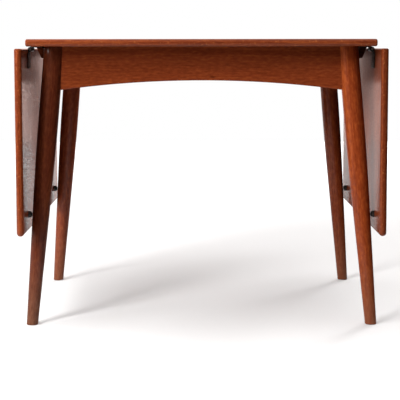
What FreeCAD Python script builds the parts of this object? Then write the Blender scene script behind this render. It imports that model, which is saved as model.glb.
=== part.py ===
import FreeCAD, Part
import os
import Sketcher
from FreeCAD import Placement, Rotation, Vector

# A drop-leaf table in teak: a fixed top on four splayed turned legs, a leaf hanging at each end on
# a pair of iron back-flap hinges, and four pull-out lopers that carry the leaves when they are up.
# X runs from leaf to leaf, Y from front to back, Z up; the origin is on the floor under the middle.

doc = FreeCAD.newDocument("DropLeafTable")

# Driving dimensions in millimetres.
driving = {
    # table and panels
    "table_height": 720,
    "top_length": 855,
    "top_depth": 800,
    "top_thickness": 18,
    "bullnose_flat": 0.4,
    "arris_radius": 4,
    "leaf_length": 461,
    "leaf_corner_radius": 10,
    # line of the hinge pins, from the bottom corner of the fixed top's end
    "hinge_drop": 7,
    "hinge_out": 3,
    "seam_gap": 1,
    # turned legs: the head's place under the top, and how far the foot stands out from it
    "leg_inset_x": 57.5,
    "leg_inset_y": 124.5,
    "leg_splay_x": 60,
    "leg_splay_y": 40.5,
    "leg_head_diameter": 50.4,
    "leg_foot_diameter": 29,
    "leg_taper_height": 436,
    "leg_blend_length": 106,
    "foot_chamfer": 1.5,
    # rails
    "apron_thickness": 20,
    "apron_depth": 110,
    "apron_rise": 25,
    "apron_arris": 2,
    "end_apron_depth": 86,
    "tenon_thickness": 10,
    "tenon_haunch": 14,
    "board_housing": 8,
    "tenon_setback": 3,
    "cross_rail_thickness": 20,
    "cross_rail_depth": 78,
    "cross_rail_housing": 6,
    # lopers
    "loper_width": 22,
    "loper_height": 31,
    "loper_length": 700,
    "loper_headroom": 0.5,
    "loper_underplay": 0.3,
    "loper_sideplay": 0.4,
    "loper_nose_inset": 3.5,
    "loper_nose_slope": 12,
    "loper_nose_lip": 2.5,
    "loper_lead": 10,
    "loper_hinge_gap": 2.5,
    "loper_spacing": 32,
    "scoop_radius": 12,
    "scoop_depth": 5,
    "scoop_setback": 28,
    "dowel_diameter": 8,
    "dowel_length": 22,
    "dowel_grip": 14,
    "dowel_play": 0.2,
    "dowel_setback": 12,
    # blocks and cleats inside the frame
    "block_height": 45,
    "block_thickness": 20,
    "block_leg_gap": 2,
    "block_drop": 42,
    "cleat_width": 25,
    "cleat_height": 22,
    "cleat_rail_gap": 20,
    "cleat_block_gap": 6,
    "cleat_loper_gap": 18,
    "cleat_screw_end": 30,
    # hinges
    "hinge_inset": 143,
    "hinge_width": 45,
    "flap_thickness": 2.5,
    "top_flap_length": 31.5,
    "leaf_flap_length": 48,
    "flap_corner_radius": 3,
    "barrel_diameter": 12,
    "pin_diameter": 6,
    "pin_head": 0.8,
    "pin_head_diameter": 5,
    "pin_play": 0.05,
    "knuckle_gap": 0.3,
    "strap_gap": 0.4,
    "flap_screw_side": 13,
    "top_flap_screw": 20,
    "leaf_flap_screw_near": 17,
    "leaf_flap_screw_far": 38,
    # fasteners
    "screw_head": 8,
    "screw_shank": 4,
    "screw_play": 0.05,
    "flap_screw_length": 14,
    "cleat_screw_length": 34,
    "bumper_screw_length": 13,
    # bumpers
    "bumper_diameter": 16.5,
    "bumper_above_edge": 44,
    "bumper_gap": 0.4,
    "bumper_seat": 4.5,
    "bumper_shoulder": 5,
    "bumper_tip_diameter": 5,
}

# Places and sizes that follow from the driving dimensions.
derived = {
    "underside": "sizes.table_height - sizes.top_thickness",
    "end_edge": "sizes.top_length / 2",
    "side_edge": "sizes.top_depth / 2",
    "bullnose": "(sizes.top_thickness - sizes.bullnose_flat) / 2",
    "axis_x": "sizes.top_length / 2 + sizes.hinge_out",
    "axis_z": "sizes.table_height - sizes.top_thickness - sizes.hinge_drop",
    "leaf_inner": "worked.axis_x + sizes.hinge_drop",
    "leaf_top": "worked.axis_z + sizes.hinge_out - sizes.seam_gap",
    "leaf_bottom": "worked.leaf_top - sizes.leaf_length",
    # a leg's axis runs from the foot's middle to the head's middle
    "head_x": "worked.end_edge - sizes.leg_inset_x",
    "head_y": "worked.side_edge - sizes.leg_inset_y",
    "foot_x": "worked.head_x + sizes.leg_splay_x",
    "foot_y": "worked.head_y + sizes.leg_splay_y",
    "lean_x": "sizes.leg_splay_x / worked.underside",
    "lean_y": "sizes.leg_splay_y / worked.underside",
    "leg_axis_length": "sqrt(worked.underside^2 + sizes.leg_splay_x^2 + sizes.leg_splay_y^2)",
    "leg_overcut": "sizes.leg_head_diameter / 2",
    # rails stand on the legs' axes at half the rail's depth
    "apron_y": "worked.head_y + worked.lean_y * sizes.apron_depth / 2",
    "end_apron_x": "worked.head_x + worked.lean_x * sizes.end_apron_depth / 2",
    "apron_inner_y": "worked.apron_y - sizes.apron_thickness / 2",
    "end_apron_inner_x": "worked.end_apron_x - sizes.apron_thickness / 2",
    "apron_half": "worked.head_x - sizes.board_housing",
    "apron_low": "worked.underside - sizes.apron_depth",
    "arch_radius": "(worked.apron_half^2 + sizes.apron_rise^2) / (2 * sizes.apron_rise)",
    "end_apron_half": "worked.head_y - sizes.board_housing",
    "end_apron_low": "worked.underside - sizes.end_apron_depth",
    "tenon_top": "worked.underside - sizes.tenon_haunch",
    "apron_tenon_half": "worked.end_apron_x - sizes.tenon_thickness / 2 - sizes.tenon_setback",
    "end_tenon_half": "worked.apron_y - sizes.tenon_thickness / 2 - sizes.tenon_setback",
    "cross_rail_low": "worked.underside - sizes.cross_rail_depth",
    "cross_rail_half": "worked.apron_inner_y + sizes.cross_rail_housing",
    # lopers lie beside the hinges, two at the front and two at the back
    "hinge_y": "worked.side_edge - sizes.hinge_inset",
    "loper_outer_y": "worked.hinge_y - sizes.hinge_width / 2 - sizes.loper_hinge_gap - sizes.loper_width / 2",
    "loper_inner_y": "worked.loper_outer_y - sizes.loper_spacing",
    "loper_top": "worked.underside - sizes.loper_headroom",
    "loper_bottom": "worked.loper_top - sizes.loper_height",
    "notch_floor": "worked.loper_bottom - sizes.loper_underplay",
    "notch_half": "sizes.loper_width / 2 + sizes.loper_sideplay",
    "nose_x": "worked.end_edge - sizes.loper_nose_inset",
    "tail_x": "worked.nose_x - sizes.loper_length",
    "scoop_x": "worked.nose_x - sizes.scoop_setback",
    "inner_dowel_x": "(sizes.cross_rail_thickness + sizes.dowel_diameter) / 2 + sizes.dowel_play",
    "outer_dowel_x": "worked.tail_x + sizes.dowel_setback",
    "dowel_hole": "sizes.dowel_diameter / 2 + sizes.screw_play",
    # corner blocks lie across each corner, just clear of the leg
    "block_z": "worked.underside - sizes.block_drop - sizes.block_height",
    "block_offset_x": "worked.head_x + worked.lean_x * sizes.block_drop - worked.end_apron_inner_x",
    "block_offset_y": "worked.head_y + worked.lean_y * sizes.block_drop - worked.apron_inner_y",
    "block_near": "sqrt(2) * (sizes.leg_head_diameter / 2 + sizes.block_leg_gap)"
                  " - worked.block_offset_x - worked.block_offset_y",
    "block_far": "worked.block_near + sqrt(2) * sizes.block_thickness",
    "cleat_low": "worked.underside - sizes.cleat_height",
    "side_cleat_start": "sizes.cross_rail_thickness / 2 + sizes.cleat_rail_gap",
    "side_cleat_length": "worked.end_apron_inner_x - worked.block_far - sizes.cleat_block_gap"
                         " - worked.side_cleat_start",
    "side_cleat_place": "worked.side_cleat_start + worked.side_cleat_length / 2",
    "end_cleat_length": "2 * (worked.loper_inner_y - sizes.loper_width / 2 - sizes.cleat_loper_gap)",
    "side_cleat_y": "worked.apron_inner_y - sizes.cleat_width / 2",
    "end_cleat_x": "worked.end_apron_inner_x - sizes.cleat_width / 2",
    # hinge parts, from the pin's axis
    "barrel_radius": "sizes.barrel_diameter / 2",
    "pin_radius": "sizes.pin_diameter / 2",
    "pin_bore": "worked.pin_radius + sizes.pin_play",
    "knuckle": "sizes.hinge_width / 5",
    "flap_face": "sizes.hinge_drop - sizes.flap_thickness",
    "strap_reach": "sqrt(sizes.hinge_drop^2 + sizes.hinge_out^2) + sizes.strap_gap",
    "leaf_corner": "sizes.hinge_out - sizes.seam_gap",
    "screw_hole": "sizes.screw_shank / 2 + sizes.screw_play",
    # bumpers, level with the leg behind them
    "bumper_z": "worked.leaf_bottom + sizes.bumper_above_edge",
    "bumper_y": "worked.foot_y - worked.lean_y * worked.bumper_z",
    "leg_radius_there": "sizes.leg_foot_diameter / 2 + worked.bumper_z"
                        " * (sizes.leg_head_diameter - sizes.leg_foot_diameter) / 2 / sizes.leg_taper_height",
    "leg_face_there": "worked.foot_x - worked.lean_x * worked.bumper_z"
                      " + worked.leg_radius_there * sqrt(1 + worked.lean_x^2 + worked.lean_y^2)",
    "bumper_length": "worked.leaf_inner - worked.leg_face_there - sizes.bumper_gap",
}


def fill_sheet(name, cells, formula):
    sheet = doc.addObject("Spreadsheet::Sheet", name)
    for row, (alias, content) in enumerate(cells.items(), start=1):
        sheet.set(f"A{row}", alias.replace("_", " "))
        sheet.set(f"B{row}", f"={content}" if formula else str(content))
        sheet.setAlias(f"B{row}", alias)
    return sheet


sizes = fill_sheet("sizes", driving, False)
worked = fill_sheet("worked", derived, True)
doc.recompute()


def value(expression):
    """The number that an expression over the two sheets comes to."""
    return float(sizes.evalExpression(expression))


def origin_plane(body, role):
    return next(plane for plane in body.Origin.OriginFeatures if plane.Role == role)


def new_body(name, compound=False):
    body = doc.addObject("PartDesign::Body", name)
    body.AllowCompound = compound
    return body


def new_sketch(body, name, role, offset=None):
    """A sketch on one of the body's origin planes, moved along the plane's normal by offset."""
    sketch = body.newObject("Sketcher::SketchObject", name)
    sketch.AttachmentSupport = [(origin_plane(body, role), "")]
    sketch.MapMode = "FlatFace"
    if offset is not None:
        sketch.setExpression("AttachmentOffset.Base.z", offset)
    return sketch


def bind(sketch, kind, *geometry, name, expression):
    index = sketch.addConstraint(Sketcher.Constraint(kind, *geometry, value(expression)))
    sketch.renameConstraint(index, name)
    sketch.setExpression(f"Constraints.{name}", expression)


def draw_outline(sketch, corners, mark="p"):
    """A closed outline through corners. A corner is (x, y), or (x, y, radius, middle) where the edge
    that leads to the next corner is an arc of that radius, whose middle is near the point given."""
    first = sketch.GeometryCount
    count = len(corners)
    points = [Vector(value(corner[0]), value(corner[1]), 0) for corner in corners]
    for index, corner in enumerate(corners):
        start = points[index]
        end = points[(index + 1) % count]
        if len(corner) == 2:
            sketch.addGeometry(Part.LineSegment(start, end), False)
        else:
            middle = Vector(value(corner[3][0]), value(corner[3][1]), 0)
            anticlockwise = (middle - start).cross(end - middle).z > 0
            arc = Part.Arc(start, middle, end) if anticlockwise else Part.Arc(end, middle, start)
            sketch.addGeometry(arc, False)
    starts = []
    for index in range(count):
        edge = sketch.Geometry[first + index]
        forward = edge.StartPoint.distanceToPoint(points[index]) < 1e-6
        starts.append(1 if forward else 2)
    for index in range(count):
        follower = (index + 1) % count
        end = 3 - starts[index]
        sketch.addConstraint(
            Sketcher.Constraint("Coincident", first + index, end, first + follower, starts[follower]))
    for index, corner in enumerate(corners):
        place = (-1, 1, first + index, starts[index])
        bind(sketch, "DistanceX", *place, name=f"{mark}{index}_x", expression=corner[0])
        bind(sketch, "DistanceY", *place, name=f"{mark}{index}_y", expression=corner[1])
        if len(corner) > 2:
            bind(sketch, "Radius", first + index, name=f"{mark}{index}_radius", expression=corner[2])


def draw_box(sketch, low_x, high_x, low_y, high_y, mark="p"):
    corners = [(low_x, low_y), (high_x, low_y), (high_x, high_y), (low_x, high_y)]
    draw_outline(sketch, corners, mark)


def draw_circles(sketch, centres, radius):
    for index, (x, y) in enumerate(centres):
        circle = Part.Circle(Vector(value(x), value(y), 0), Vector(0, 0, 1), value(radius))
        geometry = sketch.addGeometry(circle, False)
        bind(sketch, "DistanceX", -1, 1, geometry, 3, name=f"c{index}_x", expression=x)
        bind(sketch, "DistanceY", -1, 1, geometry, 3, name=f"c{index}_y", expression=y)
        bind(sketch, "Radius", geometry, name=f"c{index}_radius", expression=radius)


def pad(body, sketch, length, both_ways=False):
    feature = body.newObject("PartDesign::Pad", "Pad")
    feature.Profile = sketch
    feature.setExpression("Length", length)
    if both_ways:
        feature.SideType = "Symmetric"
    return feature


def pocket(body, sketch, depth, both_ways=False, reverse=False):
    """A cut of the sketch, against its plane's normal unless reversed. It has to take material."""
    doc.recompute()
    before = body.Shape.Volume
    feature = body.newObject("PartDesign::Pocket", "Pocket")
    feature.Profile = sketch
    feature.setExpression("Length", depth)
    feature.Reversed = reverse
    if both_ways:
        feature.SideType = "Symmetric"
    doc.recompute()
    if not body.Shape.Volume < before:
        raise ValueError(f"a pocket of {body.Name} takes nothing away")
    return feature


def revolve(body, sketch, axis):
    feature = body.newObject("PartDesign::Revolution", "Revolution")
    feature.Profile = sketch
    feature.ReferenceAxis = (sketch, [axis])
    feature.Angle = 360
    return feature


def edge_names(shape, chosen):
    return [f"Edge{number}" for number, edge in enumerate(shape.Edges, start=1) if chosen(edge)]


def round_edges(body, radius, chosen):
    doc.recompute()
    base = body.Tip
    feature = body.newObject("PartDesign::Fillet", "Fillet")
    feature.Base = (base, edge_names(base.Shape, chosen))
    feature.setExpression("Radius", radius)
    return feature


def bevel_edges(body, size, chosen):
    doc.recompute()
    base = body.Tip
    feature = body.newObject("PartDesign::Chamfer", "Chamfer")
    feature.Base = (base, edge_names(base.Shape, chosen))
    feature.setExpression("Size", size)
    return feature


def near(first, second):
    return abs(first - second) < 1e-4


def runs_at(edge, **place):
    """True where every point of the edge has the coordinates given, such as x=10."""
    box = edge.BoundBox
    spans = {"x": (box.XMin, box.XMax), "y": (box.YMin, box.YMax), "z": (box.ZMin, box.ZMax)}
    return all(near(low, at) and near(high, at)
               for (low, high), at in ((spans[axis], place[axis]) for axis in place))


def place(thing, x="0", y="0", z="0", turn="0"):
    """Puts a piece at x, y, z, turned about the vertical."""
    thing.setExpression("Placement.Base.x", x)
    thing.setExpression("Placement.Base.y", y)
    thing.setExpression("Placement.Base.z", z)
    thing.Placement.Rotation = Rotation(Vector(0, 0, 1), 0)
    thing.setExpression("Placement.Rotation.Angle", turn)


sides = {"left": -1, "right": 1}
ends = {"front": -1, "back": 1}
nodes = {}


def keep(name, thing):
    """Names a finished piece: its label is the name of its file."""
    thing.Label = name
    nodes[name] = thing
    return thing


# ---------------------------------------------------------------- panels
def flap_screw_places(corner):
    """Screw places on a flap, along and across it: two beside the barrel on a top's flap, and a
    third further down on a leaf's flap."""
    across = "sizes.flap_screw_side"
    if corner == "top":
        return [("-sizes.top_flap_screw", f"{sign}{across}") for sign in ("-", "")]
    pair = [("-sizes.leaf_flap_screw_near", f"{sign}{across}") for sign in ("-", "")]
    return pair + [("-sizes.leaf_flap_screw_far", "0")]


def top_screw_places():
    """Places of every screw that enters the underside of the top."""
    places = []
    for side in (-1, 1):
        for end in (-1, 1):
            for along, across in flap_screw_places("top"):
                places.append((f"{side} * (worked.axis_x + ({along}))", f"{end} * worked.hinge_y + ({across})"))
    for cleat in ("side", "end"):
        places += cleat_screw_places(cleat)
    return places


def cleat_screw_places(cleat):
    places = []
    inset = "sizes.cleat_screw_end"
    for end in (-1, 1):
        for side in (-1, 1):
            if cleat == "side":
                for sign in (-1, 1):
                    x = f"{side} * worked.side_cleat_place + {sign} * (worked.side_cleat_length / 2 - {inset})"
                    places.append((x, f"{end} * worked.side_cleat_y"))
            else:
                y = f"{end} * (worked.end_cleat_length / 2 - {inset})"
                places.append((f"{side} * worked.end_cleat_x", y))
    return places


def make_top():
    """Solid board, bullnosed along the front and back, with pilot holes for every screw below it."""
    body = new_body("top_board")
    sketch = new_sketch(body, "top_plan", "XY_Plane", "worked.underside")
    draw_box(sketch, "-worked.end_edge", "worked.end_edge", "-worked.side_edge", "worked.side_edge")
    pad(body, sketch, "sizes.top_thickness")
    front = value("worked.side_edge")
    round_edges(body, "worked.bullnose",
                lambda edge: runs_at(edge, y=front) and edge.Length > front
                or runs_at(edge, y=-front) and edge.Length > front)
    end = value("worked.end_edge")
    round_edges(body, "sizes.arris_radius",
                lambda edge: runs_at(edge, x=end) or runs_at(edge, x=-end))
    pilots = new_sketch(body, "top_pilots", "XY_Plane", "worked.underside")
    draw_circles(pilots, top_screw_places(), "worked.screw_hole")
    pocket(body, pilots, "sizes.cleat_screw_length - sizes.cleat_height", reverse=True)
    keep("table_top", body)


def make_leaf(side):
    """Hanging leaf: square at the hinge edge, bullnosed round the other three."""
    sign = sides[side]
    body = new_body(f"{side}_leaf_board")
    plan = new_sketch(body, f"{side}_leaf_plan", "XY_Plane", "worked.leaf_bottom")
    faces = ["worked.leaf_inner", "worked.leaf_inner + sizes.top_thickness"]
    if sign < 0:
        faces = [f"-({face})" for face in reversed(faces)]
    draw_box(plan, faces[0], faces[1], "-worked.side_edge", "worked.side_edge")
    pad(body, plan, "sizes.leaf_length")
    low = value("worked.leaf_bottom")
    high = value("worked.leaf_top")
    edge_y = value("worked.side_edge")
    thickness = value("sizes.top_thickness")
    round_edges(body, "sizes.leaf_corner_radius",
                lambda edge: runs_at(edge, z=low) and near(edge.Length, thickness))
    flats = [value(face) for face in faces]
    round_edges(body, "worked.bullnose",
                lambda edge: any(runs_at(edge, x=flat) for flat in flats) and not runs_at(edge, z=high))
    round_edges(body, "sizes.arris_radius", lambda edge: runs_at(edge, z=high))
    pilots = new_sketch(body, f"{side}_leaf_pilots", "YZ_Plane", f"{sign} * worked.leaf_inner")
    centres = []
    for end in (-1, 1):
        for along, across in flap_screw_places("leaf"):
            centres.append((f"{end} * worked.hinge_y + ({across})", f"worked.axis_z + ({along})"))
        centres.append((f"{end} * worked.bumper_y", "worked.bumper_z"))
    draw_circles(pilots, centres, "worked.screw_hole")
    pocket(body, pilots, "sizes.flap_screw_length - sizes.flap_thickness", reverse=sign > 0)
    keep(f"{side}_leaf", body)


# ---------------------------------------------------------------- rails
def draw_tenons(sketch, shoulder, tip, low, high):
    """One tenon beyond each end of a rail, from its shoulder to its tip."""
    draw_box(sketch, shoulder, tip, low, high, mark="far")
    draw_box(sketch, f"-({tip})", f"-({shoulder})", low, high, mark="near")


def make_apron(end):
    """Long rail with an arched lower edge, square ends housed in the legs and a tenon in each."""
    body = new_body(f"{end}_apron_board")
    face = new_sketch(body, f"{end}_apron_face", "XZ_Plane")
    half = "worked.apron_half"
    arch = ("0", "worked.apron_low + sizes.apron_rise")
    draw_outline(face, [(half, "worked.apron_low", "worked.arch_radius", arch),
                        (f"-{half}", "worked.apron_low"),
                        (f"-{half}", "worked.underside"),
                        (half, "worked.underside")])
    pad(body, face, "sizes.apron_thickness", both_ways=True)
    bottom = value("worked.apron_low")
    crown = bottom + value("sizes.apron_rise")
    bevel_edges(body, "sizes.apron_arris",
                lambda edge: near(edge.BoundBox.ZMin, bottom) and near(edge.BoundBox.ZMax, crown)
                and edge.BoundBox.XLength > crown / 2)
    tenons = new_sketch(body, f"{end}_apron_tenons", "XZ_Plane")
    draw_tenons(tenons, half, "worked.apron_tenon_half", "worked.apron_low + sizes.tenon_haunch",
                "worked.tenon_top")
    pad(body, tenons, "sizes.tenon_thickness", both_ways=True)
    housing = new_sketch(body, f"{end}_apron_housing", "XZ_Plane",
                         f"{ends[end]} * sizes.apron_thickness / 2")
    draw_box(housing, "-sizes.cross_rail_thickness / 2", "sizes.cross_rail_thickness / 2",
             "worked.cross_rail_low", "worked.underside")
    pocket(body, housing, "sizes.cross_rail_housing", reverse=ends[end] < 0)
    place(body, y=f"{ends[end]} * worked.apron_y")
    keep(f"{end}_apron", body)


def notched_corners(half, low, notches):
    """Outline of a rail from below, whose top edge is open at each notch for a loper."""
    corners = [(f"-({half})", low), (half, low), (half, "worked.underside")]
    for notch in notches:
        far = f"{notch} + worked.notch_half"
        close = f"{notch} - worked.notch_half"
        corners += [(far, "worked.underside"), (far, "worked.notch_floor")]
        corners += [(close, "worked.notch_floor"), (close, "worked.underside")]
    corners.append((f"-({half})", "worked.underside"))
    return corners


def make_end_apron(side):
    """Short rail between two legs, notched from above for the two lopers that leave this end."""
    body = new_body(f"{side}_end_apron_board")
    face = new_sketch(body, f"{side}_end_apron_face", "YZ_Plane")
    notches = ["worked.loper_inner_y", "-worked.loper_outer_y"]
    draw_outline(face, notched_corners("worked.end_apron_half", "worked.end_apron_low", notches))
    pad(body, face, "sizes.apron_thickness", both_ways=True)
    tenons = new_sketch(body, f"{side}_end_apron_tenons", "YZ_Plane")
    draw_tenons(tenons, "worked.end_apron_half", "worked.end_tenon_half",
                "worked.end_apron_low + sizes.tenon_haunch", "worked.notch_floor - sizes.tenon_setback")
    pad(body, tenons, "sizes.tenon_thickness", both_ways=True)
    place(body, x=f"{sides[side]} * worked.end_apron_x", turn="0" if side == "right" else "180")
    keep(f"{side}_end_apron", body)


def make_cross_rail():
    """Rail across the middle, housed in both long aprons and notched for all four lopers."""
    body = new_body("cross_rail_board")
    face = new_sketch(body, "cross_rail_face", "YZ_Plane")
    notches = ["worked.loper_outer_y", "worked.loper_inner_y",
               "-worked.loper_inner_y", "-worked.loper_outer_y"]
    draw_outline(face, notched_corners("worked.cross_rail_half", "worked.cross_rail_low", notches))
    pad(body, face, "sizes.cross_rail_thickness", both_ways=True)
    keep("centre_cross_rail", body)


# ---------------------------------------------------------------- legs
def make_leg(end, side):
    """Leg turned about its own axis, leant both ways, sawn level at the floor and under the top,
    and cut for the two rails that enter it."""
    name = f"{end}_{side}_leg"
    body = new_body(f"{name}_turning")
    half_section = new_sketch(body, f"{name}_profile", "XZ_Plane")
    foot = "sizes.leg_foot_diameter / 2"
    head = "sizes.leg_head_diameter / 2"
    growth = f"({head} - {foot}) / sizes.leg_taper_height"
    blend_start = "sizes.leg_taper_height - sizes.leg_blend_length"
    blend_end = "sizes.leg_taper_height + sizes.leg_blend_length"
    blend_radius = f"sizes.leg_blend_length / tan(atan({growth}) / 2)"
    blend_middle = (f"{head} - {growth} * sizes.leg_blend_length / 4", "sizes.leg_taper_height")
    over = "worked.leg_overcut"
    draw_outline(half_section, [
        ("0", f"-{over}"),
        (f"{foot} - {growth} * {over}", f"-{over}"),
        (f"{foot} + {growth} * ({blend_start})", blend_start, blend_radius, blend_middle),
        (head, blend_end),
        (head, f"worked.leg_axis_length + {over}"),
        ("0", f"worked.leg_axis_length + {over}")])
    revolve(body, half_section, "V_Axis")
    splay_x = sides[side]
    splay_y = ends[end]
    body.setExpression("Placement.Base.x", f"{splay_x} * worked.foot_x")
    body.setExpression("Placement.Base.y", f"{splay_y} * worked.foot_y")
    # the axis leans towards the middle: turned about the level line square to the lean
    body.setExpression("Placement.Rotation.Axis.x", f"{splay_y} * worked.lean_y")
    body.setExpression("Placement.Rotation.Axis.y", f"{-splay_x} * worked.lean_x")
    body.setExpression("Placement.Rotation.Axis.z", "0")
    body.setExpression("Placement.Rotation.Angle", "atan(sqrt(worked.lean_x^2 + worked.lean_y^2))")
    slab = doc.addObject("Part::Box", f"{name}_height")
    slab.setExpression("Length", "2 * sizes.top_length")
    slab.setExpression("Width", "2 * sizes.top_depth")
    slab.setExpression("Height", "worked.underside")
    slab.setExpression("Placement.Base.x", "-sizes.top_length")
    slab.setExpression("Placement.Base.y", "-sizes.top_depth")
    sawn = doc.addObject("Part::Common", f"{name}_sawn")
    sawn.Base = body
    sawn.Tool = slab
    doc.recompute()
    bevelled = doc.addObject("Part::Chamfer", f"{name}_bevelled")
    bevelled.Base = sawn
    size = value("sizes.foot_chamfer")
    foot_edges = [number for number, edge in enumerate(sawn.Shape.Edges, start=1) if runs_at(edge, z=0)]
    bevelled.Edges = [(number, size, size) for number in foot_edges]
    housed = doc.addObject("Part::Cut", f"{name}_housed")
    housed.Base = bevelled
    housed.Tool = nodes[f"{end}_apron"]
    leg = doc.addObject("Part::Cut", f"{name}_cut")
    leg.Base = housed
    leg.Tool = nodes[f"{side}_end_apron"]
    keep(name, leg)


# ---------------------------------------------------------------- lopers
def loper_place(thing, end, side):
    """Right-hand lopers lie outermost at the front and innermost at the back; the left-hand ones
    are the same piece turned half round."""
    outer = (end == "front") == (side == "right")
    row = "worked.loper_outer_y" if outer else "worked.loper_inner_y"
    place(thing, y=f"{ends[end]} * {row}", turn="0" if side == "right" else "180")


def make_loper(end, side):
    """Pull-out bearer: a square bar with a raked nose, a finger scoop and two dowels as stops."""
    name = f"{end}_{side}_loper"
    body = new_body(f"{name}_bar")
    face = new_sketch(body, f"{name}_face", "XZ_Plane")
    rake = "worked.nose_x - sizes.loper_nose_slope"
    draw_outline(face, [("worked.tail_x", "worked.loper_bottom"),
                        (f"{rake} - sizes.loper_lead", "worked.loper_bottom"),
                        (rake, "worked.loper_bottom + sizes.loper_nose_lip"),
                        ("worked.nose_x", "worked.loper_top"),
                        ("worked.tail_x", "worked.loper_top")])
    pad(body, face, "sizes.loper_width", both_ways=True)
    scoop = new_sketch(body, f"{name}_scoop", "XZ_Plane")
    draw_circles(scoop, [("worked.scoop_x - sizes.scoop_radius",
                          "worked.loper_bottom + sizes.scoop_depth - sizes.scoop_radius")],
                 "sizes.scoop_radius")
    pocket(body, scoop, "sizes.loper_width * 2", both_ways=True)
    holes = new_sketch(body, f"{name}_dowel_holes", "XY_Plane", "worked.loper_bottom")
    draw_circles(holes, [("worked.inner_dowel_x", "0"), ("worked.outer_dowel_x", "0")],
                 "worked.dowel_hole")
    pocket(body, holes, "sizes.dowel_grip", reverse=True)
    loper_place(body, end, side)
    keep(name, body)


def make_stop_dowels(end, side):
    """Two dowels: one meets the cross rail when the loper is home, the other when it is out."""
    name = f"{end}_{side}_loper_stops"
    body = new_body(f"{name}_pair", compound=True)
    plan = new_sketch(body, f"{name}_plan", "XY_Plane",
                      "worked.loper_bottom + sizes.dowel_grip - sizes.dowel_length")
    draw_circles(plan, [("worked.inner_dowel_x", "0"), ("worked.outer_dowel_x", "0")],
                 "sizes.dowel_diameter / 2")
    pad(body, plan, "sizes.dowel_length")
    loper_place(body, end, side)
    keep(name, body)


# ---------------------------------------------------------------- blocks and cleats
def make_corner_block(end, side, quarter_turn):
    """Glued block across a corner of the frame, behind the leg."""
    name = f"{end}_{side}_corner_block"
    body = new_body(f"{name}_board")
    plan = new_sketch(body, f"{name}_plan", "XY_Plane")
    draw_outline(plan, [("-worked.block_near", "0"), ("-worked.block_far", "0"),
                        ("0", "-worked.block_far"), ("0", "-worked.block_near")])
    pad(body, plan, "sizes.block_height")
    place(body, f"{sides[side]} * worked.end_apron_inner_x", f"{ends[end]} * worked.apron_inner_y",
          "worked.block_z", str(quarter_turn))
    keep(name, body)


def countersink(body, sketch, reverse=False):
    """Screw holes right through, countersunk at the sketch's plane."""
    doc.recompute()
    before = body.Shape.Volume
    hole = body.newObject("PartDesign::Hole", "Hole")
    hole.Profile = sketch
    hole.Threaded = False
    hole.setExpression("Diameter", "2 * worked.screw_hole")
    hole.DepthType = "ThroughAll"
    hole.HoleCutType = "Countersink"
    hole.HoleCutCustomValues = True
    hole.setExpression("HoleCutDiameter", "sizes.screw_head + 2 * sizes.screw_play")
    hole.HoleCutCountersinkAngle = 90
    hole.Reversed = reverse
    doc.recompute()
    if not body.Shape.Volume < before:
        raise ValueError(f"the holes of {body.Name} take nothing away")


def make_cleat(name, length, width, screws, x, y):
    """Batten glued to a rail and screwed up into the top."""
    body = new_body(f"{name}_batten")
    plan = new_sketch(body, f"{name}_plan", "XY_Plane")
    draw_box(plan, f"-{length} / 2", f"{length} / 2", f"-{width} / 2", f"{width} / 2")
    pad(body, plan, "sizes.cleat_height")
    holes = new_sketch(body, f"{name}_holes", "XY_Plane")
    draw_circles(holes, screws, "worked.screw_hole")
    countersink(body, holes, reverse=True)
    place(body, x, y, "worked.cleat_low")
    keep(name, body)


def make_cleats():
    inset = "sizes.cleat_screw_end"
    for end, way in ends.items():
        for side, hand in sides.items():
            reach = f"(worked.side_cleat_length / 2 - {inset})"
            make_cleat(f"{end}_{side}_top_cleat", "worked.side_cleat_length", "sizes.cleat_width",
                       [(f"-{reach}", "0"), (reach, "0")],
                       f"{hand} * worked.side_cleat_place", f"{way} * worked.side_cleat_y")
    for side, hand in sides.items():
        reach = f"(worked.end_cleat_length / 2 - {inset})"
        make_cleat(f"{side}_end_top_cleat", "sizes.cleat_width", "worked.end_cleat_length",
                   [("0", f"-{reach}"), ("0", reach)], f"{hand} * worked.end_cleat_x", "0")


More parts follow.
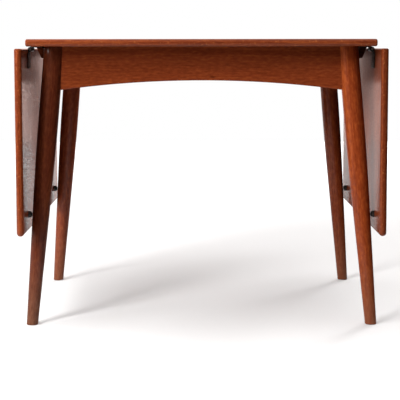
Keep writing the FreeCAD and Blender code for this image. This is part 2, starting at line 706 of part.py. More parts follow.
# ---------------------------------------------------------------- hinges
def make_flap(name, length, corner, knuckles, screws):
    """Half of a back-flap hinge about its own pin along Y. The flap runs towards -X, its mounting
    face is hinge_drop above the pin, and it bends down round the barrel past the wood's corner."""
    body = new_body(f"{name}_forging")
    half = "sizes.hinge_width / 2"
    face = new_sketch(body, f"{name}_side", "XZ_Plane")
    drop = "sizes.hinge_drop"
    radius = "worked.barrel_radius"
    # the strap leaves the corner of the wood and meets the barrel square to this radius
    reach = f"sqrt({corner}^2 + {drop}^2)"
    meet = f"(atan2({drop}; -({corner})) - acos({radius} / {reach}))"
    draw_outline(face, [(f"-{length}", "worked.flap_face"),
                        ("0", "worked.flap_face"),
                        (f"{radius} * cos({meet})", f"{radius} * sin({meet})"),
                        (f"-({corner})", drop),
                        (f"-{length}", drop)])
    pad(body, face, "sizes.hinge_width", both_ways=True)
    barrel = new_sketch(body, f"{name}_barrel", "XZ_Plane")
    draw_circles(barrel, [("0", "0")], radius)
    pad(body, barrel, "sizes.hinge_width", both_ways=True)
    ends_y = value(half)
    tip = value(f"-{length}")
    round_edges(body, "sizes.flap_corner_radius",
                lambda edge: near(edge.BoundBox.XMax, tip) and near(edge.BoundBox.XMin, tip)
                and edge.BoundBox.YLength < 1e-4 and near(abs(edge.BoundBox.YMin), ends_y))
    slots = new_sketch(body, f"{name}_slots", "XY_Plane")
    reach_x = "worked.strap_reach"
    for index in range(5):
        if index in knuckles:
            continue
        low = f"({index} - 2.5) * worked.knuckle"
        high = f"({index} - 1.5) * worked.knuckle"
        low = f"{low} - sizes.knuckle_gap / 2" if index > 0 else f"{low} - sizes.knuckle_gap"
        high = f"{high} + sizes.knuckle_gap / 2" if index < 4 else f"{high} + sizes.knuckle_gap"
        draw_box(slots, f"-{reach_x}", reach_x, low, high, mark=f"slot{index}_")
    pocket(body, slots, "4 * sizes.hinge_drop", both_ways=True)
    bore = new_sketch(body, f"{name}_bore", "XZ_Plane")
    draw_circles(bore, [("0", "0")], "worked.pin_bore")
    pocket(body, bore, "2 * sizes.hinge_width", both_ways=True)
    holes = new_sketch(body, f"{name}_holes", "XY_Plane", "worked.flap_face")
    draw_circles(holes, screws, "worked.screw_hole")
    countersink(body, holes, reverse=True)
    return body


def place_on_axis(thing, end, side, on_leaf):
    """Puts a hinge part on the line of the pins. A leaf's flap is the other's turned half round
    the line between up and out, so that it runs down the leaf."""
    thing.setExpression("Placement.Base.x", f"{sides[side]} * worked.axis_x")
    thing.setExpression("Placement.Base.y", f"{ends[end]} * worked.hinge_y")
    thing.setExpression("Placement.Base.z", "worked.axis_z")
    turn = Rotation(Vector(0, 0, 1), 0 if side == "right" else 180)
    if on_leaf:
        turn = turn.multiply(Rotation(Vector(1, 0, 1), 180))
    thing.Placement.Rotation = turn


def make_hinge(end, side):
    name = f"{end}_{side}_hinge"
    top_flap = make_flap(f"{name}_top_flap", "sizes.top_flap_length", "sizes.hinge_out",
                         (0, 2, 4), flap_screw_places("top"))
    place_on_axis(top_flap, end, side, False)
    keep(f"{name}_top_flap", top_flap)
    leaf_flap = make_flap(f"{name}_leaf_flap", "sizes.leaf_flap_length", "worked.leaf_corner",
                          (1, 3), flap_screw_places("leaf"))
    place_on_axis(leaf_flap, end, side, True)
    keep(f"{name}_leaf_flap", leaf_flap)
    body = new_body(f"{name}_pin_rod")
    profile = new_sketch(body, f"{name}_pin_profile", "YZ_Plane")
    half = "sizes.hinge_width / 2"
    reach = f"({half} + sizes.pin_head)"
    radius = "worked.pin_radius"
    tip = "sizes.pin_head_diameter / 2"
    draw_outline(profile, [(f"-{reach}", "0"), (f"-{reach}", tip), (f"-{half}", radius),
                           (half, radius), (reach, tip), (reach, "0")])
    revolve(body, profile, "H_Axis")
    place_on_axis(body, end, side, False)
    keep(f"{name}_pin", body)


# ---------------------------------------------------------------- fasteners and bumpers
def make_screw(name, length):
    """Countersunk screw, head at the origin and point upwards."""
    body = new_body(name)
    profile = new_sketch(body, f"{name}_profile", "XZ_Plane")
    head = "sizes.screw_head / 2"
    shank = "sizes.screw_shank / 2"
    draw_outline(profile, [("0", "0"), (head, "0"), (shank, f"{head} - {shank}"),
                           (shank, f"{length} - {shank}"), ("0", length)])
    revolve(body, profile, "V_Axis")
    return body


def screw_group(name, screw, placements):
    """Copies of one screw, kept together as separate solids."""
    copies = []
    for number, placement in enumerate(placements, start=1):
        copy = doc.addObject("App::Link", f"{name}_{number}")
        copy.LinkedObject = screw
        copy.Placement = placement
        copies.append(copy)
    group = doc.addObject("Part::Compound", f"{name}_group")
    group.Links = copies
    keep(name, group)


def flap_screw_placements(end, side, corner):
    """Where a flap's screws stand, heads in its countersinks."""
    flap = nodes[f"{end}_{side}_hinge_{corner}_flap"]
    placements = []
    for along, across in flap_screw_places(corner):
        seat = Vector(value(along), value(across), value("worked.flap_face"))
        placements.append(flap.Placement.multiply(Placement(seat, Rotation())))
    return placements


def make_screws():
    short = make_screw("flap_screw", "sizes.flap_screw_length")
    long = make_screw("cleat_screw", "sizes.cleat_screw_length")
    stub = make_screw("bumper_screw", "sizes.bumper_screw_length")
    doc.recompute()
    top_flaps = [placement for end in ends for side in sides
                 for placement in flap_screw_placements(end, side, "top")]
    screw_group("hinge_top_screws", short, top_flaps)
    low = value("worked.cleat_low")
    cleats = [Placement(Vector(value(x), value(y), low), Rotation())
              for cleat in ("side", "end") for x, y in cleat_screw_places(cleat)]
    screw_group("top_cleat_screws", long, cleats)
    for side, sign in sides.items():
        leaf_flaps = [placement for end in ends for placement in flap_screw_placements(end, side, "leaf")]
        screw_group(f"{side}_leaf_hinge_screws", short, leaf_flaps)
        outward = Rotation(Vector(0, 0, 1), Vector(sign, 0, 0))
        seat = sign * value("worked.leaf_inner - sizes.bumper_seat")
        bumpers = [Placement(Vector(seat, way * value("worked.bumper_y"), value("worked.bumper_z")), outward)
                   for way in ends.values()]
        screw_group(f"{side}_bumper_screws", stub, bumpers)


def make_bumper(end, side):
    """Domed rubber buffer on the leaf that stops just short of the leg, moulded round its screw."""
    name = f"{end}_{side}_bumper"
    body = new_body(f"{name}_moulding")
    profile = new_sketch(body, f"{name}_profile", "XZ_Plane")
    radius = "sizes.bumper_diameter / 2"
    tip = "worked.bumper_length"
    tip_radius = "sizes.bumper_tip_diameter / 2"
    shoulder = "sizes.bumper_shoulder"
    chord = f"sqrt(({tip} - {shoulder})^2 + ({radius} - {tip_radius})^2)"
    # the dome is an arc whose radius equals its chord, so it stands this share of the chord off it
    rise = "(1 - sqrt(3) / 2)"
    crown = (f"-({tip} + {shoulder}) / 2 - ({radius} - {tip_radius}) * {rise}",
             f"({radius} + {tip_radius}) / 2 + ({tip} - {shoulder}) * {rise}")
    well = "(sizes.screw_head / 2 + sizes.screw_play)"
    bore = "worked.screw_hole"
    seat = "sizes.bumper_seat"
    draw_outline(profile, [("0", bore),
                           ("0", radius),
                           (f"-{shoulder}", radius, chord, crown),
                           (f"-{tip}", tip_radius),
                           (f"-{tip}", "0"),
                           (f"-{seat}", "0"),
                           (f"-{seat}", well),
                           (f"-({seat} - ({well} - {bore}))", bore)])
    revolve(body, profile, "H_Axis")
    place(body, f"{sides[side]} * worked.leaf_inner", f"{ends[end]} * worked.bumper_y",
          "worked.bumper_z", "0" if side == "right" else "180")
    keep(name, body)


# ---------------------------------------------------------------- assembly
make_top()
for side in sides:
    make_leaf(side)
    make_end_apron(side)
for end in ends:
    make_apron(end)
make_cross_rail()
quarter_turns = {("back", "right"): 0, ("back", "left"): 90, ("front", "left"): 180, ("front", "right"): 270}
for end in ends:
    for side in sides:
        make_leg(end, side)
        make_corner_block(end, side, quarter_turns[(end, side)])
        make_loper(end, side)
        make_stop_dowels(end, side)
        make_hinge(end, side)
        make_bumper(end, side)
make_cleats()
make_screws()
doc.recompute()

for thing in doc.Objects:
    if {"Invalid", "Error"} & set(thing.State):
        raise ValueError(f"{thing.Label} is {thing.State}")
for name, thing in nodes.items():
    if thing.Shape.isNull() or not thing.Shape.isValid() or not thing.Shape.Solids:
        raise ValueError(f"{name} has no valid solid")

os.makedirs("parts", exist_ok=True)
for name, thing in nodes.items():
    thing.Shape.exportStep(f"parts/{name}.step")
print(len(nodes), "nodes written")
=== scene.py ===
import math

import bmesh
import bpy
import numpy as np
from mathutils import Matrix, Vector


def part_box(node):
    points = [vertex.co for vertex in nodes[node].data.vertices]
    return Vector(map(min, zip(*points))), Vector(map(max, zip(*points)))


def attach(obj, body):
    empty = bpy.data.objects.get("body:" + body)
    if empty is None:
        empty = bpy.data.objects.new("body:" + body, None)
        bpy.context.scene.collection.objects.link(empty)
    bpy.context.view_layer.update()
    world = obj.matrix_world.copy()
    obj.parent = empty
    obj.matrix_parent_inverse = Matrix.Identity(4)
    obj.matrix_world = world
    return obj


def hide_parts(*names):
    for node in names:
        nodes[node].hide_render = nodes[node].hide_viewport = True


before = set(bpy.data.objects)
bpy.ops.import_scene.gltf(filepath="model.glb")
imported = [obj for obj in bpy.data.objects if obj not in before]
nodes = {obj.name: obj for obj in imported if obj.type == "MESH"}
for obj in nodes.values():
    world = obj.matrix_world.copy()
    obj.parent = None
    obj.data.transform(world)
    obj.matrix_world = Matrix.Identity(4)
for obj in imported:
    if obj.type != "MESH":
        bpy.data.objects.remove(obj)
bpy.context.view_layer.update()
millimetre = 0.001
upward, alongX, alongY = (0, 0, 1), (1, 0, 0), (0, 1, 0)
outward = {"left": (-1, 0, 0), "right": (1, 0, 0), "front": (0, -1, 0), "back": (0, 1, 0)}
corners = [(end, side) for end in ("front", "back") for side in ("left", "right")]
noiseEnds = {"From Min": 0.3, "From Max": 0.7}   # noise seldom leaves this range
print("frame loaded:", len(nodes), "parts")


# sRGB hex to linear light: a straight foot below 0.04045, a power of 2.4 above it
def toLinear(hexColour):
    channels = [int(hexColour[i:i + 2], 16) / 255 for i in (0, 2, 4)]
    return tuple(c / 12.92 if c <= 0.04045 else ((c + 0.055) / 1.055) ** 2.4 for c in channels) + (1.0,)


# adds a node; each input is a plain value, or (node, output) for a link
def addNode(tree, kind, inputs=None, **settings):
    node = tree.nodes.new("ShaderNode" + kind)
    for name, setting in settings.items():
        setattr(node, name, setting)
    for socket, value in (inputs or {}).items():
        if isinstance(value, tuple) and isinstance(value[0], bpy.types.Node):
            tree.links.new(value[0].outputs[value[1]], node.inputs[socket])
        else:
            node.inputs[socket].default_value = value
    return node


def newMaterial(name):
    material = bpy.data.materials.new(name)
    material.use_nodes = True
    material.node_tree.nodes.clear()
    return material, material.node_tree


def finishMaterial(tree, shader):
    addNode(tree, "OutputMaterial", {"Surface": (shader, "BSDF")})


# colour stops of a ramp, each a place from 0 to 1 and an sRGB hex
def setRamp(ramp, stops):
    elements = ramp.color_ramp.elements
    while len(elements) < len(stops):
        elements.new(0.5)
    for element, (place, hexColour) in zip(elements, stops):
        element.position = place
        element.color = toLinear(hexColour)


# puts a material in every slot of the parts named
def dress(nodeNames, material):
    for name in nodeNames:
        part = nodes[name]
        for slot in part.material_slots:
            slot.material = material
        if not part.material_slots:
            part.data.materials.append(material)


def middleOf(name):
    low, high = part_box(name)
    return tuple((Vector(low) + Vector(high)) / 2)


# half a part's length along one axis and half its width along another, in mm
def halves(name, along, across):
    low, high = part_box(name)
    return tuple((high[axis] - low[axis]) / 2 / millimetre for axis in (along, across))


# turn that lays local X along the grain and local Z along the board's face
def grainTurn(grain, face):
    along = Vector(grain).normalized()
    out = (Vector(face) - along * along.dot(Vector(face))).normalized()
    return Matrix((along, out.cross(along), out)).transposed().to_euler()


# local millimetres on a board: X along the grain, Z out of its face
def boardSpace(tree, grain, face, centre):
    place = addNode(tree, "TexCoord")
    return addNode(tree, "Mapping", {"Vector": (place, "Object"), "Location": centre,
                                     "Rotation": grainTurn(grain, face),
                                     "Scale": (millimetre,) * 3}, vector_type="TEXTURE")


# a space divided by a length along the grain and a width across it, for noise drawn out into streaks
def streaks(tree, space, length, width):
    return addNode(tree, "VectorMath", {0: space, 1: (1 / length, 1 / width, 1 / width)},
                   operation="MULTIPLY")


# teak, old and oiled: red brown, a faint figure of growth rings sawn along the log, fine fibres,
# open pores, and a soft shine on the high spots
teak = {
    "ringWidth": 5.0,        # mm between growth rings on the flat-sawn face
    "ringDrift": 9.0,        # mm that a ring wanders along the board
    "driftLength": 420.0,    # mm along the grain for one wander
    "driftWidth": 70.0,      # mm across the grain for one wander
    "pithDepth": 150.0,      # mm from the board's face to the heart of the log
    "pithAside": 12.0,       # mm that the heart lies to one side of the board's middle
    "fibreLength": 60.0,     # mm; real fibres are finer than this and would not show
    "fibreWidth": 2.4,
    "fibreShare": 0.5,       # of fibres in the figure, against rings
    "fleckLength": 15.0,     # mm of the soft flecks in the figure
    "fleckWidth": 5.0,
    "fleckShare": 0.45,      # of flecks, against rings and fibres
    "figure": [(0.37, "5D2510"), (0.5, "6C2E15"), (0.63, "7E3B1B")],
    "patch": 1.7,            # darker and lighter patches to one wander
    "patchTone": (0.9, 1.1),
    "poreLength": 12.0,      # mm; drawn longer and wider than the real pores so that they show
    "poreWidth": 0.9,
    "poreOpen": (0.62, 0.74),    # noise where a pore begins and where it is fully open
    "poreDepth": 0.4,        # how far a pore goes to its colour
    "pore": "3A1205",
    "staveWidth": 133.0,     # mm of each board that a panel is glued up from
    "staveJump": (900.0, 60.0, 70.0),   # mm in the log, at most, between two staves
    "staveTone": (0.9, 1.08),
    "gloss": 0.02,           # 0.5 is bare varnish: oil fills the pores but builds no film
    "roughness": (0.37, 0.52),   # on the fibres' low and high spots
    "polish": 0.28,          # share of the surface rubbed to a shine
    "polishRoughness": 0.17,
    "mottle": 0.35,          # how unevenly the shine lies on the ripples, from 0 to 1
    "mottleEnds": (0.38, 0.62),  # noise of the dullest and the brightest ripple
    "rippleLength": 4.0,     # mm between the marks that a planer or a lathe leaves across the grain
    "rippleWidth": 30.0,
    "rippleHeight": 0.4,     # against the fibres' relief
    "relief": 0.4,           # mm
    "reliefShare": 0.12,     # of that relief that the light sees
    "worn": "9A5A30",
    "wearDepth": 6.0,        # mm in from an edge that knocks and hands reach
    "wearShare": 0.6,        # how far a scuff goes to the worn colour
    "scuff": 7.0,            # mm across one scuff
    "scuffEnds": (0.6, 0.72),    # noise where a scuff begins and where it is full
    "knotHeart": 4.6,        # mm from a knot's middle, dark all through
    "knotRim": 8.5,          # mm, where the knot has faded into the grain
    "knotRagged": 6.0,       # mm that its outline wanders
    "knotSquash": 0.6,       # width against length along the grain
    "knotShare": 0.6,        # how far it goes to the pores' colour
}


# each stave of a glued panel comes from another part of the log
def splitStaves(tree, local):
    split = addNode(tree, "SeparateXYZ", {0: (local, 0)})
    count = addNode(tree, "Math", {0: (split, "Y"), 1: teak["staveWidth"]}, operation="DIVIDE")
    number = addNode(tree, "Math", {0: (count, 0)}, operation="FLOOR")
    stave = addNode(tree, "TexWhiteNoise", {"W": (number, 0)}, noise_dimensions="1D")
    jump = addNode(tree, "VectorMath", {0: (stave, "Color"), 1: teak["staveJump"]}, operation="MULTIPLY")
    return stave, addNode(tree, "VectorMath", {0: (local, 0), 1: (jump, 0)}, operation="ADD")


# rings are noise of the distance from a line along the log, bent slowly along the grain
def growRings(tree, grown, slow, depth):
    drift = addNode(tree, "TexNoise", {"Vector": (slow, 0), "Scale": 1.0, "Detail": 2.0, "Roughness": 0.45})
    swing = addNode(tree, "VectorMath", {0: (drift, "Color"), 1: (0.5, 0.5, 0.5)}, operation="SUBTRACT")
    wander = 2 * teak["ringDrift"]
    bend = addNode(tree, "VectorMath", {0: (swing, 0), 1: (0.0, wander, wander)}, operation="MULTIPLY")
    bent = addNode(tree, "VectorMath", {0: (grown, 0), 1: (bend, 0)}, operation="ADD")
    pith = (0.0, teak["pithAside"], teak["pithDepth"] * depth)
    fromPith = addNode(tree, "VectorMath", {0: (bent, 0), 1: pith}, operation="ADD")
    section = addNode(tree, "VectorMath", {0: (fromPith, 0), 1: (0.0, 1.0, 1.0)}, operation="MULTIPLY")
    radius = addNode(tree, "VectorMath", {0: (section, 0)}, operation="LENGTH")
    rings = addNode(tree, "Math", {0: (radius, "Value"), 1: 1 / teak["ringWidth"]}, operation="MULTIPLY")
    return addNode(tree, "TexNoise", {"W": (rings, 0), "Scale": 1.0, "Detail": 2.0, "Roughness": 0.55},
                   noise_dimensions="1D")


# a knot is dark by its distance from a point on the board, given in mm along and across the grain
def addKnot(tree, local, colour, along, across):
    squash = teak["knotSquash"]
    flat = addNode(tree, "VectorMath", {0: (local, 0), 1: (squash, 1.0, 0.0)}, operation="MULTIPLY")
    uneven = addNode(tree, "TexNoise", {"Vector": (flat, 0), "Scale": 1 / teak["fleckWidth"], "Detail": 2.0})
    apart = addNode(tree, "VectorMath", {0: (flat, 0), 1: (squash * along, across, 0.0)},
                    operation="DISTANCE")
    ragged = addNode(tree, "Math", {0: (uneven, 0), 1: teak["knotRagged"], 2: (apart, "Value")},
                     operation="MULTIPLY_ADD")
    heart = addNode(tree, "MapRange", {"Value": (ragged, 0), "From Min": teak["knotHeart"],
                                       "From Max": teak["knotRim"], "To Min": teak["knotShare"],
                                       "To Max": 0.0})
    return addNode(tree, "Mix", {"Factor": (heart, 0), 6: colour, 7: toLinear(teak["pore"])},
                   data_type="RGBA")


# a leg's foot stands dry: its colour comes in below the leg's middle, more in some flecks than in others
def dryFoot(tree, local, flecks, colour, foot):
    below = addNode(tree, "SeparateXYZ", {0: (local, 0)})
    low = addNode(tree, "MapRange", {"Value": (below, "X"), "From Min": -foot["from"],
                                     "From Max": -foot["to"], "To Max": foot["share"]})
    least, most = foot["uneven"]
    uneven = addNode(tree, "MapRange", {"Value": (flecks, 0), **noiseEnds, "To Min": least, "To Max": most})
    bare = addNode(tree, "Math", {0: (low, 0), 1: (uneven, 0)}, operation="MULTIPLY")
    return addNode(tree, "Mix", {"Factor": (bare, 0), 6: colour, 7: toLinear(foot["colour"])},
                   data_type="RGBA")


# scuffs are noise cut off, let in near the edges; edges are half the board's length and width in mm
def scuffEdges(tree, local, colour, edges):
    scuffs = addNode(tree, "TexNoise", {"Vector": (local, 0), "Scale": 1 / teak["scuff"], "Detail": 2.0})
    begin, full = teak["scuffEnds"]
    struck = addNode(tree, "MapRange", {"Value": (scuffs, 0), "From Min": begin, "From Max": full,
                                        "To Max": teak["wearShare"]})
    sized = addNode(tree, "VectorMath", {0: (local, 0)}, operation="ABSOLUTE")
    reach = addNode(tree, "SeparateXYZ", {0: (sized, 0)})
    close = [addNode(tree, "MapRange", {"Value": (reach, axis), "From Min": half - teak["wearDepth"],
                                        "From Max": half}) for axis, half in zip("XY", edges)]
    rim = addNode(tree, "Math", {0: (close[0], 0), 1: (close[1], 0)}, operation="MAXIMUM")
    wear = addNode(tree, "Math", {0: (rim, 0), 1: (struck, 0)}, operation="MULTIPLY")
    return addNode(tree, "Mix", {"Factor": (wear, 0), 6: colour, 7: toLinear(teak["worn"])},
                   data_type="RGBA")


# fibres are noise drawn out along the grain, pores finer noise cut off near its peaks, and the shine
# follows the ripples; value and vivid are this board's brightness and depth of colour, where value also
# paints light and shade onto the leaves, legs and lopers, depth is its share of the way to the pith, and
# rubbed is its polish against the rest
def teakMaterial(name, grain, face, centre, staves=False, value=1.0, depth=1.0, edges=None, knot=None,
                 rubbed=1.0, vivid=1.0, foot=None):
    material, tree = newMaterial(name)
    local = boardSpace(tree, grain, face, centre)
    stave, grown = splitStaves(tree, local) if staves else (None, local)
    slow = streaks(tree, (grown, 0), teak["driftLength"], teak["driftWidth"])
    bands = growRings(tree, grown, slow, depth)
    fine = streaks(tree, (grown, 0), teak["fibreLength"], teak["fibreWidth"])
    fibres = addNode(tree, "TexNoise", {"Vector": (fine, 0), "Scale": 1.0, "Detail": 3.0, "Roughness": 0.6})
    finer = streaks(tree, (grown, 0), teak["poreLength"], teak["poreWidth"])
    pores = addNode(tree, "TexNoise", {"Vector": (finer, 0), "Scale": 1.0, "Detail": 1.0})
    begin, full = teak["poreOpen"]
    openPores = addNode(tree, "MapRange", {"Value": (pores, 0), "From Min": begin, "From Max": full,
                                           "To Max": teak["poreDepth"]})
    soft = streaks(tree, (grown, 0), teak["fleckLength"], teak["fleckWidth"])
    flecks = addNode(tree, "TexNoise", {"Vector": (soft, 0), "Scale": 1.0, "Detail": 2.0})
    streaked = addNode(tree, "Mix", {"Factor": teak["fibreShare"], 2: (bands, 0), 3: (fibres, 0)},
                       data_type="FLOAT")
    figure = addNode(tree, "Mix", {"Factor": teak["fleckShare"], 2: (streaked, 0), 3: (flecks, 0)},
                     data_type="FLOAT")
    body = addNode(tree, "ValToRGB", {"Fac": (figure, 0)})
    setRamp(body, teak["figure"])
    pored = addNode(tree, "Mix", {"Factor": (openPores, 0), 6: (body, 0), 7: toLinear(teak["pore"])},
                    data_type="RGBA")
    patch = addNode(tree, "TexNoise", {"Vector": (slow, 0), "Scale": teak["patch"], "Detail": 1.0})
    dim, bright = teak["patchTone"]
    # the tone carries value, and with it the light and shade painted on the leaves, legs and lopers
    toneAndPaintedLight = addNode(tree, "MapRange", {"Value": (patch, 0), **noiseEnds,
                                      "To Min": dim * value, "To Max": bright * value})
    if stave is not None:
        dim, bright = teak["staveTone"]
        board = addNode(tree, "MapRange", {"Value": (stave, "Value"), "To Min": dim, "To Max": bright})
        toneAndPaintedLight = addNode(tree, "Math", {0: (toneAndPaintedLight, 0), 1: (board, 0)}, operation="MULTIPLY")
    colour = (addNode(tree, "HueSaturation", {"Color": (pored, 2), "Saturation": vivid,
                                              "Value": (toneAndPaintedLight, 0)}), 0)
    if knot is not None:
        colour = (addKnot(tree, local, colour, *knot), 2)
    if foot is not None:
        colour = (dryFoot(tree, local, flecks, colour, foot), 2)
    if edges is not None:
        colour = (scuffEdges(tree, local, colour, edges), 2)
    smooth, dull = teak["roughness"]
    rough = addNode(tree, "MapRange", {"Value": (fibres, 0), **noiseEnds, "To Min": smooth, "To Max": dull})
    relief = addNode(tree, "Math", {0: (fibres, 0), 1: (openPores, 0)}, operation="SUBTRACT")
    planed = streaks(tree, (grown, 0), teak["rippleLength"], teak["rippleWidth"])
    ripples = addNode(tree, "TexNoise", {"Vector": (planed, 0), "Scale": 1.0, "Detail": 1.0})
    height = addNode(tree, "Math", {0: (ripples, 0), 1: teak["rippleHeight"], 2: (relief, 0)},
                     operation="MULTIPLY_ADD")
    bump = addNode(tree, "Bump", {"Height": (height, 0), "Strength": teak["reliefShare"],
                                  "Distance": teak["relief"] * millimetre})
    polish = teak["polish"] * rubbed
    dullest, brightest = teak["mottleEnds"]
    shine = addNode(tree, "MapRange", {"Value": (ripples, 0), "From Min": dullest, "From Max": brightest,
                                       "To Min": polish * (1 - teak["mottle"]),
                                       "To Max": polish * (1 + teak["mottle"])})
    shader = addNode(tree, "BsdfPrincipled", {
        "Base Color": colour, "Roughness": (rough, 0), "IOR": 1.5, "Normal": (bump, 0),
        "Specular IOR Level": teak["gloss"], "Coat Weight": (shine, 0),
        "Coat Roughness": teak["polishRoughness"], "Coat Normal": (bump, 0)})
    finishMaterial(tree, shader)
    return material


boards = {
    "leafPaintedLightTone": {"left": 1.05, "right": 0.8},      # brightness painted on each leaf for its light and shade: the right leaf darker, the left lighter
    "leafRubbed": {"left": 1.55, "right": 1.15},   # against the polish of the rest
    "apronTone": 0.97,
    "knots": {"front": (27.0, -20.5), "back": None},   # mm right of the apron's middle and above it
}
dress(["table_top"], teakMaterial("oiledTeakTop", alongX, upward, middleOf("table_top"), staves=True,
                                  edges=halves("table_top", 0, 1)))
for side in ("left", "right"):
    leaf, rail, out = f"{side}_leaf", f"{side}_end_apron", outward[side]
    # each leaf's value is painted light and shade: the right leaf darkened for the shade on it, the left
    # lightened for its lit inner face
    dress([leaf], teakMaterial(f"oiledTeak{side.title()}Leaf", upward, out, middleOf(leaf), staves=True,
                               value=boards["leafPaintedLightTone"][side], edges=halves(leaf, 2, 1),
                               rubbed=boards["leafRubbed"][side]))
    dress([rail], teakMaterial(f"oiledTeak{side.title()}Rail", alongY, out, middleOf(rail)))
for end in ("front", "back"):
    rail = f"{end}_apron"
    dress([rail], teakMaterial(f"oiledTeak{end.title()}Apron", alongX, outward[end], middleOf(rail),
                               value=boards["apronTone"], knot=boards["knots"][end]))
dress(["centre_cross_rail"],
      teakMaterial("oiledTeakCrossRail", alongY, alongX, middleOf("centre_cross_rail")))

# legs turned in a lathe from a board each, with light and shade painted into each leg's tone, and lopers
# painted dark as shade for the deep shade they lie in under the top
turned = {
    "lean": {"left": 0.0855, "right": -0.0855, "front": 0.0577, "back": -0.0577},   # out per metre down
    # each leg's tone is painted light and shade: the front left leg darkest, for the left leaf's shadow on
    # it, the front right lightest, for the light falling on it
    "toneAndPaintedLight": {"front_left": 0.52, "front_right": 1.25, "back_left": 1.08, "back_right": 0.9},
    "vivid": {"front_left": 0.97, "front_right": 1.01, "back_left": 0.97, "back_right": 1.0},
    "foot": {
        "from": 170.0,       # mm below the leg's middle where dry wood begins
        "to": 350.0,         # and where it is full
        "share": 0.55,
        "uneven": (0.6, 1.3),
        "colour": "66432F",
    },
    "pith": 0.3,             # share of a board's depth to the heart: legs are cut near it
    # painted shade: the lopers darkened for the deep shade under the top
    "loperPaintedShade": 0.3,
}
for end, side in corners:
    leg, loper = f"{end}_{side}_leg", f"{end}_{side}_loper"
    lean = turned["lean"]
    dress([leg], teakMaterial(f"oiledTeak{end.title()}{side.title()}Leg", (lean[side], lean[end], 1.0),
                              (lean[side], -lean["front"], 0), middleOf(leg),
                              value=turned["toneAndPaintedLight"][f"{end}_{side}"], depth=turned["pith"],
                              vivid=turned["vivid"][f"{end}_{side}"], foot=turned["foot"]))
    dress([loper], teakMaterial(f"paintedShadeTeak{end.title()}{side.title()}Loper", alongX, alongY,
                                middleOf(loper), value=turned["loperPaintedShade"]))
print("teak laid on the top, leaves, rails, legs and lopers")

# pine and beech inside the frame: sawn or turned, never finished, so pale and dry
bareWood = {
    "streakLength": 90.0,    # mm
    "streakWidth": 3.0,
    "streakEnds": (0.35, 0.65),  # noise of the dark and the light streaks
    "roughness": 0.7,
    "relief": 0.3,           # mm
    "reliefShare": 0.2,
    "sawnPine": ("8A5F38", "B48A58"),   # dark and light
    "planedPine": ("8F643B", "B98F5C"),
    "turnedBeech": ("A87A4E", "CFA676"),
    "blockHeight": 0.64,     # metres above the floor that the streaks are laid out from
    "battenHeight": 0.69,
    "dowelHeight": 0.68,
}


def bareWoodMaterial(name, grain, face, height, colours):
    material, tree = newMaterial(name)
    local = boardSpace(tree, grain, face, (0, 0, height))
    drawn = streaks(tree, (local, 0), bareWood["streakLength"], bareWood["streakWidth"])
    fibres = addNode(tree, "TexNoise", {"Vector": (drawn, 0), "Scale": 1.0, "Detail": 3.0, "Roughness": 0.6})
    body = addNode(tree, "ValToRGB", {"Fac": (fibres, 0)})
    setRamp(body, list(zip(bareWood["streakEnds"], colours)))
    bump = addNode(tree, "Bump", {"Height": (fibres, 0), "Strength": bareWood["reliefShare"],
                                  "Distance": bareWood["relief"] * millimetre})
    shader = addNode(tree, "BsdfPrincipled", {"Base Color": (body, 0), "Roughness": bareWood["roughness"],
                                              "IOR": 1.5, "Normal": (bump, 0)})
    finishMaterial(tree, shader)
    return material


for kind, name, grain, face, height, colours in [
        ("corner_block", "sawnPineBlocks", alongX, upward, "blockHeight", "sawnPine"),
        ("top_cleat", "planedPineBattens", alongX, upward, "battenHeight", "planedPine"),
        ("loper_stops", "turnedBeechDowels", upward, alongX, "dowelHeight", "turnedBeech")]:
    dress([f"{end}_{side}_{kind}" for end, side in corners],
          bareWoodMaterial(name, grain, face, bareWood[height], bareWood[colours]))
dress(["left_end_top_cleat", "right_end_top_cleat"],
      bareWoodMaterial("planedPineEndBattens", alongY, upward, bareWood["battenHeight"],
                       bareWood["planedPine"]))

# hinges: rolled iron under black japan, rubbed back to the metal on its high spots
iron = {
    "japan": "14110F",
    "worn": "3A3531",
    "wornEnds": (0.55, 0.75),    # noise where the wear begins and where it is full
    "grain": 6.4,            # mm
    "metal": 0.35,           # share of bare metal that the light sees
    "roughness": 0.45,
    "relief": 0.2,           # mm
    "reliefShare": 0.15,
}


def japannedIron():
    material, tree = newMaterial("blackJapannedIron")
    place = addNode(tree, "TexCoord")
    grain = addNode(tree, "TexNoise", {"Vector": (place, "Object"), "Detail": 3.0,
                                       "Scale": 1 / (iron["grain"] * millimetre)})
    begin, full = iron["wornEnds"]
    wear = addNode(tree, "MapRange", {"Value": (grain, 0), "From Min": begin, "From Max": full})
    colour = addNode(tree, "Mix", {"Factor": (wear, 0), 6: toLinear(iron["japan"]),
                                   7: toLinear(iron["worn"])}, data_type="RGBA")
    bump = addNode(tree, "Bump", {"Height": (grain, 0), "Strength": iron["reliefShare"],
                                  "Distance": iron["relief"] * millimetre})
    shader = addNode(tree, "BsdfPrincipled", {"Base Color": (colour, 2), "Metallic": iron["metal"],
                                              "Roughness": iron["roughness"], "Normal": (bump, 0)})
    finishMaterial(tree, shader)
    return material


dress([f"{end}_{side}_hinge_{half}" for end, side in corners for half in ("top_flap", "leaf_flap")],
      japannedIron())

# pins and screws: steel wire drawn bright, dulled by a little oxide
steel = {
    "colour": "8C8780",
    "grain": 1.1,            # mm
    "roughness": (0.3, 0.5),
}


def drawnSteel():
    material, tree = newMaterial("drawnSteel")
    place = addNode(tree, "TexCoord")
    grain = addNode(tree, "TexNoise", {"Vector": (place, "Object"), "Detail": 2.0,
                                       "Scale": 1 / (steel["grain"] * millimetre)})
    smooth, dull = steel["roughness"]
    rough = addNode(tree, "MapRange", {"Value": (grain, 0), "To Min": smooth, "To Max": dull})
    shader = addNode(tree, "BsdfPrincipled", {"Base Color": toLinear(steel["colour"]), "Metallic": 1.0,
                                              "Roughness": (rough, 0)})
    finishMaterial(tree, shader)
    return material


